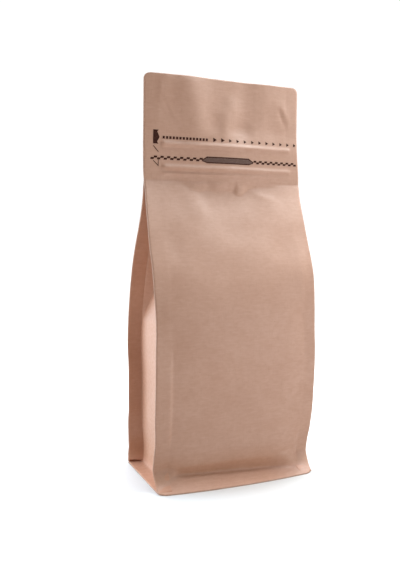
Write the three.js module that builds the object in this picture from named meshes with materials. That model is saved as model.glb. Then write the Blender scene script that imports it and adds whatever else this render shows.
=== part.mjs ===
// Flat-bottom pouch of brown kraft paper: a shut box pouch with four sealed corner fins,
// folded side walls, a flat header with a press-to-close band, and a flared base seal.
// Millimetres. X runs across the front, the front faces -Y, Z is up, the origin is the
// middle of the base on the floor.
import * as THREE from "three";

// ---- overall sizes ----
const HEIGHT = 345;
const BASE_WIDTH = 144;
const BASE_DEPTH = 90;
const BASE_CORNER_RADIUS = 9;
const TOP_CORNER_RADIUS = 5.3;

// ---- base seal ----
const SEAL_THICKNESS = 1.0;
const FLANGE_TOP = 1.3;
const CREASE_HEIGHT = 7.2;
const CREASE_TILT = 2.6;
const CREASE_DEPTH = 32.8;
const BODY_STARTS = 20;

// ---- corner fins, side walls and flat top ----
const FIN_WIDTH = 10;
const LEFT_FLAT = 13.5;
const RIGHT_FLAT = 10.5;
const FIN_THICKNESS = 0.7;
const LEFT_ROUNDING = 28;
const RIGHT_ROUNDING = 20;
const FOOT_ROUNDING = 3;
const ADDED_ROUNDING = 16;
const WALL_FROM_MIDDLE = 62.3;
const HALF_WALL = 37.2;
const FOLD_STARTS = 115;
const FOLD_RATE = 0.32;
const LEAST_FOLD = 3;
const LEAST_GAP = 0.4;
const GROOVE_TOP = 254;
const STRIP_BOTTOM = 257.5;
const STRIP_THICKNESS = 1.2;

// ---- press-to-close band ----
const BAND_LEFT = -58;
const BAND_RIGHT = 65.7;
const RIDGE_RISE = 0.8;
const UPPER_RIDGE = 286.5;
const LOWER_RIDGE = 270;
const RIDGE_HALF = 2.8;
const GROOVE_RISE = -0.25;
const LOWER_GROOVE = 266.6;

// ---- header wave ----
const WAVE_STARTS = 290;

// ---- curves up the pouch: [height, size] ----
const HALF_WIDTHS = [
  [1, 72], [16, 73.95], [50, 74.7], [120, 75.15], [180, 75.8], [257, 73.9], [345, 73.05],
];
const FIN_DEPTHS = [
  [16, 29.6], [28, 33], [50, 34.9], [75, 36.1], [100, 37], [130, 36.7], [155, 33.7],
  [180, 27.7], [205, 17.7], [230, 6.8], [245, 2.3], [254, 1.1], [257.5, 0.25],
];
const FOOT_TIPS = [[1.3, 40.8], [1.9, 38.7], [5.7, 33.6], [10.7, 31.4], [16, 29.6]];
const FOOT_ROOTS = [[1.3, 44], [2, 42.4], [3.5, 39.2], [5.7, 34.9], [10.7, 31.6], [16, 29.6]];
const PANEL_DEPTHS = [
  [7, 32.8], [10, 34.2], [18, 37.3], [30, 40.1], [50, 42.1], [80, 43.2], [115, 43.3],
  [140, 41.2], [160, 37.1], [180, 31.6], [205, 20.9], [230, 8.9], [245, 3.8], [257.5, 0.6],
];
const SWAYS = [[1.3, 0], [16, -1.6], [30, -1.8], [60, -0.4], [130, 0.5], [205, 2.1], [232, 3],
  [250, 1], [257.5, 0]];
// Across the header, towards the front.
const WAVE = [[-74, 0], [-57, 3], [-40, 1.7], [-17, 0], [0, 0], [27, 0], [48, 4], [74, 0]];

// ---- mesh steps ----
const PANEL_STEPS = 10;
const PANEL_CROWDING = 1.4;
const FIN_STEPS = 2;
const FOLD_STEPS = 3;
const MIDDLE_STEPS = 2;
const BODY_HEIGHTS = [
  1.3, 1.9, 3.5, 5.7, 7.2, 9, 12, 16, 20, 25, 31, 38, 50, 65, 80, 95, 108, 115, 122, 130, 138,
  147, 156, 165, 174, 183, 192, 201, 210, 219, 228, 236, 243, 249, 252, GROOVE_TOP,
];
const STRIP_HEIGHTS = [
  257.5, 260, 264, 265.6, 266.6, 267.6, 268.8, 270, 271.2, 272.8, 276, 280, 283.7, 285.1,
  286.5, 287.9, 289.3, 294, 301, 308, 316, 324, 332,
];
const CORNER_STEPS = 4;

// A smooth curve through the stations that never overshoots them.
function curveThrough(stations) {
  const last = stations.length - 1;
  const slopes = [];
  for (let i = 0; i < last; i += 1) {
    const rise = stations[i + 1][1] - stations[i][1];
    slopes.push(rise / (stations[i + 1][0] - stations[i][0]));
  }
  const tangents = stations.map((station, i) => {
    if (i === 0) return slopes[0];
    if (i === last) return slopes[last - 1];
    if (slopes[i - 1] * slopes[i] <= 0) return 0;
    return (2 * slopes[i - 1] * slopes[i]) / (slopes[i - 1] + slopes[i]);
  });
  return (at) => {
    if (at <= stations[0][0]) return stations[0][1];
    if (at >= stations[last][0]) return stations[last][1];
    let i = 0;
    while (at > stations[i + 1][0]) i += 1;
    const span = stations[i + 1][0] - stations[i][0];
    const t = (at - stations[i][0]) / span;
    const start = (1 + 2 * t) * (1 - t) ** 2 * stations[i][1];
    const end = t * t * (3 - 2 * t) * stations[i + 1][1];
    const bend = t * (1 - t) ** 2 * tangents[i] + t * t * (t - 1) * tangents[i + 1];
    return start + end + bend * span;
  };
}

const halfWidthAt = curveThrough(HALF_WIDTHS);
const finDepthAt = curveThrough(FIN_DEPTHS);
const footTipAt = curveThrough(FOOT_TIPS);
const footRootAt = curveThrough(FOOT_ROOTS);
const panelDepthAt = curveThrough(PANEL_DEPTHS);
const swayAt = curveThrough(SWAYS);
const waveAt = curveThrough(WAVE);

function clamp(value, low, high) {
  return Math.min(high, Math.max(low, value));
}

function blend(from, to, share) {
  return from + (to - from) * share;
}

// Rises from 0 to 1 over half a bump, then falls again.
function bump(offset, half) {
  const reach = clamp(Math.abs(offset) / half, 0, 1);
  return 0.5 + 0.5 * Math.cos(Math.PI * reach);
}

// The half width of the outline at a height, with the rounded top corners taken off.
function outlineAt(height) {
  const into = clamp(height - (HEIGHT - TOP_CORNER_RADIUS), 0, TOP_CORNER_RADIUS);
  const cut = TOP_CORNER_RADIUS - Math.sqrt(TOP_CORNER_RADIUS ** 2 - into ** 2);
  return halfWidthAt(height) - cut;
}

// How deep the base's flared seal, its crease and the bulging panel reach, before the fins.
function panelReach(x, height) {
  const crease = CREASE_HEIGHT - CREASE_TILT * (x / WALL_FROM_MIDDLE);
  const lipDepth = BASE_DEPTH / 2;
  if (height <= crease) {
    const up = (height - SEAL_THICKNESS) / (crease - SEAL_THICKNESS);
    return blend(lipDepth, CREASE_DEPTH, clamp(up, 0, 1));
  }
  if (height >= BODY_STARTS) return panelDepthAt(height);
  const first = PANEL_DEPTHS[0][0];
  const up = (height - crease) / (BODY_STARTS - crease);
  return panelDepthAt(blend(first, BODY_STARTS, up));
}

// How far the panel's rounding runs in from the flat beside the fin: little at the foot,
// wider on the left, and widest up the pouch where the panel leans in.
function roundingAt(x, height) {
  const full = x < 0 ? LEFT_ROUNDING : RIGHT_ROUNDING;
  const low = blend(FOOT_ROUNDING, full, clamp((height - 2) / 22, 0, 1));
  return low + ADDED_ROUNDING * clamp((height - 140) / 40, 0, 1);
}

// Rise of the press-to-close band and of its ridges on one face of the flat strip.
function bandRise(x, height) {
  const ends = clamp(Math.min(x - BAND_LEFT, BAND_RIGHT - x) / 3, 0, 1);
  const ridges = bump(height - UPPER_RIDGE, RIDGE_HALF) + bump(height - LOWER_RIDGE, RIDGE_HALF);
  const groove = bump(height - LOWER_GROOVE, 1.3);
  return ends * (RIDGE_RISE * ridges + GROOVE_RISE * groove);
}

// Where the header's wave moves both faces at a point.
function waveShift(x, height) {
  const up = clamp((height - WAVE_STARTS) / (HEIGHT - WAVE_STARTS), 0, 1);
  return -waveAt(x) * up * (0.6 + 0.4 * up);
}

// Position along the front from the outer edge: the fin first, then the panel.
function acrossAt(height, step) {
  const half = outlineAt(height);
  const root = half - (step < 0 ? LEFT_FLAT : RIGHT_FLAT);
  if (Math.abs(step) <= PANEL_STEPS) {
    const inward = (PANEL_STEPS - Math.abs(step)) / PANEL_STEPS;
    return Math.sign(step) * root * (1 - inward ** PANEL_CROWDING);
  }
  const out = (Math.abs(step) - PANEL_STEPS) / FIN_STEPS;
  return Math.sign(step) * blend(root, half, out);
}

// A point of the front or back row; face is -1 for the front and 1 for the back.
function rowPoint(height, step, face) {
  const x = acrossAt(height, step);
  const half = outlineAt(height);
  const flat = step < 0 ? LEFT_FLAT : RIGHT_FLAT;
  const root = half - flat;
  if (height >= STRIP_BOTTOM) {
    const depth = STRIP_THICKNESS / 2 + bandRise(x, height);
    return [x, face * depth + waveShift(x, height), height];
  }
  const inFin = Math.abs(x) > root + 1e-6;
  const share = inFin ? (Math.abs(x) - root) / flat : 0;
  const rootDepth = height < 16 ? footRootAt(height) : finDepthAt(height);
  const tipDepth = height < 16 ? footTipAt(height) : finDepthAt(height);
  const finDepth = blend(rootDepth, tipDepth, share) + FIN_THICKNESS / 2;
  const inward = clamp((root - Math.abs(x)) / roundingAt(x, height), 0, 1);
  const rounding = Math.sin((Math.PI / 2) * inward);
  const reach = Math.max(panelReach(face < 0 ? x : -x, height), height < 16 ? 0 : finDepth);
  const depth = inFin ? finDepth : blend(finDepth, reach, rounding);
  return [x, face * depth - swayAt(height), height];
}

// The points round one side's recess from the front fin's tip to the back fin's tip.
function recess(height, side) {
  const half = outlineAt(height);
  const root = half - FIN_WIDTH;
  const rootDepth = (height < 16 ? footRootAt(height) : finDepthAt(height)) - FIN_THICKNESS / 2;
  const tipDepth = (height < 16 ? footTipAt(height) : finDepthAt(height)) - FIN_THICKNESS / 2;
  const run = clamp(FOLD_RATE * (height - FOLD_STARTS), 0, HALF_WALL);
  const lean = run > 0 ? clamp(1 - (HALF_WALL - rootDepth) / run, 0, 1) : 1;
  const depth = run * Math.sqrt(1 - lean * lean);
  const reach = Math.max(run, LEAST_FOLD);
  const along = Math.sqrt(Math.max(reach * reach - depth * depth, 0));
  const foldDepth = Math.max(rootDepth - along, LEAST_GAP);
  const quarter = [];
  for (let i = 0; i <= FIN_STEPS; i += 1) {
    const share = i / FIN_STEPS;
    quarter.push([blend(half, root, share), blend(tipDepth, rootDepth, share)]);
  }
  const wall = WALL_FROM_MIDDLE;
  quarter.push([wall, rootDepth]);
  for (let i = 1; i <= FOLD_STEPS; i += 1) {
    const share = i / FOLD_STEPS;
    quarter.push([wall - depth * share, blend(rootDepth, foldDepth, share)]);
  }
  for (let i = 1; i < MIDDLE_STEPS; i += 1) {
    quarter.push([wall - depth, foldDepth * (1 - i / MIDDLE_STEPS)]);
  }
  const sway = swayAt(height);
  const front = quarter.map(([x, y]) => [side * x, -y - sway, height]);
  const back = quarter.map(([x, y]) => [side * x, y - sway, height]).reverse();
  return [...front, [side * (wall - depth), -sway, height], ...back];
}

// A point of the base seal's rounded outline, on its front or back edge.
function seatRow(height, step, face) {
  const straight = BASE_WIDTH / 2 - BASE_CORNER_RADIUS;
  const x = acrossAt(FLANGE_TOP, step);
  const out = (Math.abs(step) - PANEL_STEPS) / FIN_STEPS;
  if (out <= 0) return [x, (face * BASE_DEPTH) / 2, height];
  const turn = (Math.PI / 4) * out;
  const cornerX = straight + BASE_CORNER_RADIUS * Math.sin(turn);
  const inset = BASE_CORNER_RADIUS * (1 - Math.cos(turn));
  return [Math.sign(step) * cornerX, face * (BASE_DEPTH / 2 - inset), height];
}

// The rest of that outline, round one side from a front corner to a back corner.
function seatSide(height, side) {
  const half = [];
  const cornerX = BASE_WIDTH / 2 - BASE_CORNER_RADIUS;
  const cornerY = BASE_DEPTH / 2 - BASE_CORNER_RADIUS;
  const turns = [0.72, 0.36, 0];
  for (const turn of turns) {
    const x = cornerX + BASE_CORNER_RADIUS * Math.cos(turn);
    const y = cornerY + BASE_CORNER_RADIUS * Math.sin(turn);
    half.push([x, y]);
  }
  const count = FOLD_STEPS + MIDDLE_STEPS;
  for (let i = 1; i <= count; i += 1) {
    const share = i / (count + 1);
    half.push([BASE_WIDTH / 2, cornerY * (1 - share)]);
  }
  const front = half.map(([x, y]) => [side * x, -y, height]);
  const back = half.map(([x, y]) => [side * x, y, height]).reverse();
  return [...front, [(side * BASE_WIDTH) / 2, 0, height], ...back];
}

const MOST = PANEL_STEPS + FIN_STEPS;
const SLIM = 0.35;
const positions = [];
const faces = [];

function addPoint(point) {
  positions.push(...point);
  return positions.length / 3 - 1;
}

function addRow(maker) {
  const row = [];
  for (let step = -MOST; step <= MOST; step += 1) row.push(addPoint(maker(step)));
  return row;
}

function addTriangle(a, b, c) {
  if (a !== b && b !== c && a !== c) faces.push(a, b, c);
}

function addQuad(a, b, c, d) {
  addTriangle(a, b, c);
  addTriangle(a, c, d);
}

// Joins two rings of equal count, the second above the first.
function joinRings(lower, upper) {
  for (let i = 0; i < lower.length; i += 1) {
    const next = (i + 1) % lower.length;
    addQuad(lower[i], lower[next], upper[next], upper[i]);
  }
}

// Front row left to right, right side, back row right to left, left side.
function closeRing(parts) {
  return [...parts.front, ...parts.right, ...[...parts.back].reverse(), ...parts.left];
}

function addBodyParts(row, side) {
  return {
    front: addRow((step) => row(step, -1)),
    right: side(1).map(addPoint),
    back: addRow((step) => row(step, 1)),
    left: side(-1).reverse().map(addPoint),
  };
}

const seat = [0, SEAL_THICKNESS].map((height) =>
  addBodyParts((step, face) => seatRow(height, step, face), (side) => seatSide(height, side)),
);
const body = BODY_HEIGHTS.map((height) =>
  addBodyParts((step, face) => rowPoint(height, step, face), (side) => recess(height, side)),
);
const rings = [...seat, ...body].map(closeRing);
for (let i = 0; i + 1 < rings.length; i += 1) joinRings(rings[i], rings[i + 1]);

// The underside.
const centre = addPoint([0, 0, 0]);
for (let i = 0; i < rings[0].length; i += 1) {
  addTriangle(centre, rings[0][(i + 1) % rings[0].length], rings[0][i]);
}

// The roof of each side recess, where the wall's fold shuts under the flat strip.
const shut = body[body.length - 1];
for (const side of [shut.right, shut.left]) {
  for (let i = 0; i < (side.length - 1) / 2; i += 1) {
    const far = side.length - 1 - i;
    addQuad(side[i], side[i + 1], side[far - 1], side[far]);
  }
}

// The flat strip, the closing band and the header with its rounded corners.
function addStripParts(height) {
  const front = addRow((step) => rowPoint(height, step, -1));
  const back = addRow((step) => rowPoint(height, step, 1));
  const inner = (row, end) => {
    const at = row[end] * 3;
    const other = (row === front ? back : front)[end] * 3;
    const y = blend(positions[at + 1], positions[other + 1], SLIM);
    return addPoint([positions[at], y, height]);
  };
  const right = [inner(front, 2 * MOST), inner(back, 2 * MOST)];
  const left = [inner(back, 0), inner(front, 0)];
  return { front, right, back, left };
}

const cornerHeights = [];
for (let i = 0; i <= CORNER_STEPS; i += 1) {
  const turn = (Math.PI / 2) * (i / CORNER_STEPS);
  cornerHeights.push(HEIGHT - TOP_CORNER_RADIUS * (1 - Math.sin(turn)));
}
const strip = [...STRIP_HEIGHTS, ...cornerHeights].map(addStripParts);
const opened = {
  front: shut.front,
  right: [shut.right[0], shut.right[shut.right.length - 1]],
  back: shut.back,
  left: [shut.left[0], shut.left[shut.left.length - 1]],
};
const stripRings = [opened, ...strip].map(closeRing);
for (let i = 0; i + 1 < stripRings.length; i += 1) joinRings(stripRings[i], stripRings[i + 1]);

// The top edge.
const top = strip[strip.length - 1];
const topFront = [top.left[1], ...top.front, top.right[0]];
const topBack = [top.left[0], ...top.back, top.right[1]];
for (let i = 0; i + 1 < topFront.length; i += 1) {
  addQuad(topFront[i], topFront[i + 1], topBack[i + 1], topBack[i]);
}

const skin = new THREE.BufferGeometry();
skin.setAttribute("position", new THREE.Float32BufferAttribute(positions, 3));
skin.setIndex(faces);
skin.computeVertexNormals();

const kraftPaper = new THREE.MeshStandardMaterial({
  name: "kraft_paper",
  color: 0xb99580,
  roughness: 0.72,
  metalness: 0,
});
const pouch = new THREE.Mesh(skin, kraftPaper);
pouch.name = "pouch";

const group = new THREE.Group();
group.name = "flat_bottom_pouch";
group.add(pouch);

export default group;
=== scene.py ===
"""Visual model of a shut flat-bottom pouch of brown kraft paper.

The front and back panels, the two folded side walls, the base seal, the liner
between the panels of the header and the printed marks are built round the
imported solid. Shapes are worked out in millimetres in the solid's own frame: X
across the front, the front facing -Y, Z up and the base on Z = 0. A piece is
turned into metres when its mesh is made.
"""

from __future__ import annotations

import logging
import math
from collections.abc import Callable, Sequence
from dataclasses import dataclass, field
from enum import Enum

import bmesh
import bpy
import numpy as np
from mathutils import Matrix, Vector, noise

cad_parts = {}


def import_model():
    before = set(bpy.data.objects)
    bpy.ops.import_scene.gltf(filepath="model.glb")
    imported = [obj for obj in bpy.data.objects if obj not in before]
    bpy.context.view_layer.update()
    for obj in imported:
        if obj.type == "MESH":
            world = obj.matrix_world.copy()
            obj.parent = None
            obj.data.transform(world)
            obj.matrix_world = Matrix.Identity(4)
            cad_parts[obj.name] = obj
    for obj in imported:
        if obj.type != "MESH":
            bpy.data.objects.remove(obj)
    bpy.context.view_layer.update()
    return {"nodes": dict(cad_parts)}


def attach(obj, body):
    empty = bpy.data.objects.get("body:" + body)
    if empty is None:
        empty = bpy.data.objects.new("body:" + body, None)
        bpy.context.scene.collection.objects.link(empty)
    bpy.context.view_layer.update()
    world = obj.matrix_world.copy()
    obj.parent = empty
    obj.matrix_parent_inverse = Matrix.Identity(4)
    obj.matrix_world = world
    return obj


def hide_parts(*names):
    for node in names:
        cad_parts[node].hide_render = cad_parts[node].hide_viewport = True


LOG = logging.getLogger("pouch")
MM = 0.001
TINY = 1e-6

Array = np.ndarray
Span = tuple[float, float]
Stations = tuple[tuple[float, float], ...]
Colour = tuple[float, float, float]
Socket = bpy.types.NodeSocket


class Face(Enum):
    """The two broad faces of the pouch, by the sign of their Y."""

    FRONT = -1
    BACK = 1


class Side(Enum):
    """The two narrow sides of the pouch, by the sign of their X."""

    LEFT = -1
    RIGHT = 1


# ---------------------------------------------------------------- curves


class Profile:
    """A smooth curve through stations, softened where paper spreads its bends."""

    soft_above: Span = (25.0, 60.0)
    weights: Stations = ((-1.0, 0.08), (-0.5, 0.24), (0.0, 0.36), (0.5, 0.24), (1.0, 0.08))

    def __init__(self, stations: Stations, soft: float = 0.0) -> None:
        """Works out the slopes at the stations.

        Args:
            stations: pairs of place and size, in rising order of place.
            soft: how far on either side the curve is averaged, away from the foot.
        """
        self.soft = soft
        self.at = np.array([place for place, _ in stations], float)
        self.size = np.array([size for _, size in stations], float)
        slopes = np.diff(self.size) / np.diff(self.at)
        before, after = slopes[:-1], slopes[1:]
        total = np.where(before + after == 0, 1.0, before + after)
        inner = np.where(before * after > 0, 2 * before * after / total, 0.0)
        self.tangents = np.concatenate([slopes[:1], inner, slopes[-1:]])

    def exact(self, where: Array) -> Array:
        """Works out the curve before softening, held flat past the ends.

        Args:
            where: the places.

        Returns:
            The size at each place.
        """
        place = np.clip(np.asarray(where, float), self.at[0], self.at[-1])
        i = np.clip(np.searchsorted(self.at, place, side="left") - 1, 0, len(self.at) - 2)
        span = self.at[i + 1] - self.at[i]
        t = (place - self.at[i]) / span
        start = (1 + 2 * t) * (1 - t) ** 2 * self.size[i]
        end = t * t * (3 - 2 * t) * self.size[i + 1]
        bend = t * (1 - t) ** 2 * self.tangents[i] + t * t * (t - 1) * self.tangents[i + 1]
        return start + end + bend * span

    def __call__(self, where: Array) -> Array:
        """Works out the softened curve.

        Args:
            where: the places.

        Returns:
            The size at each place.
        """
        if not self.soft:
            return self.exact(where)
        room = np.maximum(self.at[-1] - where, 0.0)
        far = np.minimum(self.soft * ease(where, *self.soft_above), room)
        return sum(share * self.exact(where + offset * far) for offset, share in self.weights)


def blend(low: Array, high: Array, share: Array) -> Array:
    """Returns the value that lies a share of the way from low to high."""
    return low + (high - low) * share


def ease(value: Array, low: float, high: float) -> Array:
    """Returns 0 below low, 1 above high and a smooth rise between them."""
    t = np.clip((value - low) / (high - low), 0.0, 1.0)
    return t * t * (3 - 2 * t)


def higher(first: Array, second: Array, soft: Array) -> Array:
    """Returns the higher of two heights, rounded off where they cross."""
    return (first + second + np.sqrt((first - second) ** 2 + soft**2)) / 2


# ---------------------------------------------------------------- relief of the paper


@dataclass(frozen=True)
class Fold:
    """A soft ridge, or a valley where its rise is negative, along a line on a panel.

    Start and end are places across and up the panel, and the fold fades out over
    the last fade of its length at either end.
    """

    start: Span
    end: Span
    half: float
    rise: float
    fade: float = 6.0
    lean: float = 1.0

    def at(self, x: Array, z: Array) -> Array:
        """Works out the fold's height.

        Args:
            x: places across the panel.
            z: places up the panel.

        Returns:
            How far the fold lifts the paper outwards at each place.
        """
        along_x, along_z = self.end[0] - self.start[0], self.end[1] - self.start[1]
        length = math.hypot(along_x, along_z)
        unit_x, unit_z = along_x / length, along_z / length
        far_x, far_z = x - self.start[0], z - self.start[1]
        along = far_x * unit_x + far_z * unit_z
        across = far_z * unit_x - far_x * unit_z
        steep = np.where(across > 0, across * self.lean, across / self.lean)
        ends = ease(along, -self.fade, self.fade)
        ends = ends * ease(-along, -length - self.fade, self.fade - length)
        return self.rise * np.exp(-((steep / self.half) ** 2)) * ends


@dataclass(frozen=True)
class Dimple:
    """A round dent, or a swelling where its rise is positive."""

    centre: Span
    across: float
    up: float
    rise: float

    def at(self, x: Array, z: Array) -> Array:
        """Works out the dimple's height.

        Args:
            x: places across the panel.
            z: places up the panel.

        Returns:
            How far the dimple lifts the paper outwards at each place.
        """
        far_x = (x - self.centre[0]) / self.across
        far_z = (z - self.centre[1]) / self.up
        return self.rise * np.exp(-(far_x**2) - far_z**2)


@dataclass(frozen=True)
class Crumple:
    """The faint uneven rise and fall that handled paper has all over."""

    seed: float
    wave: float
    rise: float
    octaves: int = 3
    gain: float = 1.0
    finer: float = 2.1

    def at(self, x: Array, y: Array, z: Array) -> Array:
        """Works out the crumple at points of the paper.

        Args:
            x: places across the pouch.
            y: places through the pouch.
            z: places up the pouch.

        Returns:
            How far the paper lifts outwards at each point.
        """
        points = np.stack([x, y, z], axis=-1).reshape(-1, 3) / self.wave + self.seed
        rises = [
            noise.fractal(Vector(p), self.gain, self.finer, self.octaves) for p in points.tolist()
        ]
        return self.rise * np.array(rises).reshape(np.shape(x))


# What the paper of the flat header does, seen from the front: it moves both panels.
# The first eight folds, and all but three of the front panel's folds and dimples below,
# were fitted to the shading in the photograph by a separate program and then rounded.
HEADER_FOLDS: tuple[Fold | Dimple, ...] = (
    Fold((-54.5, 347), (-60, 325), 5.8, 0.59, 5, 0.77),
    Fold((-59.5, 325), (-44, 307), 3, 0.21, 4, 0.94),
    Fold((52.5, 330), (62.5, 317.5), 5.7, 0.39, 5, 0.73),
    Fold((42.5, 325.5), (53, 288), 7, -0.33, 8, 1),
    Fold((-34.5, 347.5), (-24.5, 288), 13.4, 2.9, 8, 1),
    Fold((8, 329), (0.5, 288.5), 8, 1.15, 8, 0.9),
    Fold((-1.5, 321), (-0.5, 288.5), 7.6, 0.95, 6, 1.2),
    Fold((29.5, 349), (30.5, 308.5), 7.8, -1.1, 8, 0.85),
    Fold((-59.5, 341), (-59.5, 329), 1.3, 0.22, 5),
    Fold((-59.5, 327.5), (-51, 313), 1.5, -0.3, 4),
    Fold((55, 324.5), (61.5, 310.5), 1.6, -0.55, 4, 1.3),
    Fold((58.5, 327), (66, 313), 2.4, 0.4, 5),
    Fold((-61.5, 349), (-61.5, 296), 0.9, 0.12, 6),
    Fold((62.5, 349), (62.5, 290), 0.9, -0.12, 6),
)

# What the front panel's paper does between the header and the body.
FRONT_FOLDS: tuple[Fold | Dimple, ...] = (
    Fold((-39, 255), (0.5, 255), 2.8, 0.61, 7, 0.99),
    Fold((-32, 261), (1, 208.5), 9.5, -0.45, 10, 0.93),
    Fold((-47.5, 244), (-40, 226), 9.9, -0.38, 14, 1.12),
    Fold((-9, 259), (-6.5, 250), 3, 0.15, 3, 1.5),
    Fold((27, 248), (48, 244.5), 3, 0.3, 5),
    Fold((-33, 252), (-24, 228), 9, 0.7, 6, 1.3),
    Fold((30, 246), (77, 229.5), 8.2, 0.88, 8, 1.19),
    Fold((41.5, 268), (74.5, 251), 10, -0.51, 6, 0.91),
    Fold((-2, 248), (13.5, 207), 17.4, -1.35, 12, 0.78),
    Dimple((0, 248.5), 81.3, 17.8, -0.7),
    Dimple((-52.5, 198), 6.3, 10.8, -0.43),
    Dimple((51.5, 199.5), 15.4, 18.7, -1.41),
    Dimple((67, 144), 22.3, 11, -0.89),
    Dimple((-16.5, 183.5), 28.6, 16.8, -1.03),
    Dimple((-44, 67.5), 72.2, 54.3, -1.85),
    Dimple((-65.5, 27.5), 18.2, 9.9, 2.5),
    Dimple((26.5, 43.5), 41.2, 28.7, 1.56),
    Dimple((-11, 220.5), 18.9, 18, -0.53),
    Fold((-19.5, 258.5), (-12, 252.5), 2.8, -0.46, 3, 0.94),
    Fold((-50.5, 260.5), (-32.5, 256), 3.8, -0.8, 3, 1.04),
    Dimple((59.5, 236.5), 8.8, 9.6, -0.88),
    Dimple((-66, 143.5), 19.2, 16.9, 1.65),
    Dimple((-64.5, 80), 4.8, 40.4, 0.45),
    Dimple((66, 186.5), 21.9, 35.6, 1.85),
)

# What the back panel's paper does, as seen from behind. This is a guess.
BACK_FOLDS: tuple[Fold | Dimple, ...] = (
    Fold((-48, 250), (6, 214), 11, -0.6, 12),
    Fold((18, 254), (58, 236), 8, 0.7, 8),
    Dimple((-28, 120), 38, 46, 1.2),
    Dimple((30, 64), 44, 34, -1.2),
)

# Low on the front panel, above the crease of the base seal.
FOOT_FOLDS: tuple[Fold | Dimple, ...] = (
    Fold((-54, 13), (-44, 11), 3.0, -0.7, 4),
    Fold((36, 17), (60, 22), 3.0, -0.45, 6),
    Fold((-12, 33), (-2, 41), 2.0, 0.25, 3),
    Fold((-6, 13), (14, 12), 4.0, -0.4, 6),
    Fold((-36, 12), (-22, 11), 3.5, 0.35, 5),
)


# ---------------------------------------------------------------- form


SOFT_CURVES = ("fin_depths", "panel_depths", "sways")


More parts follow.
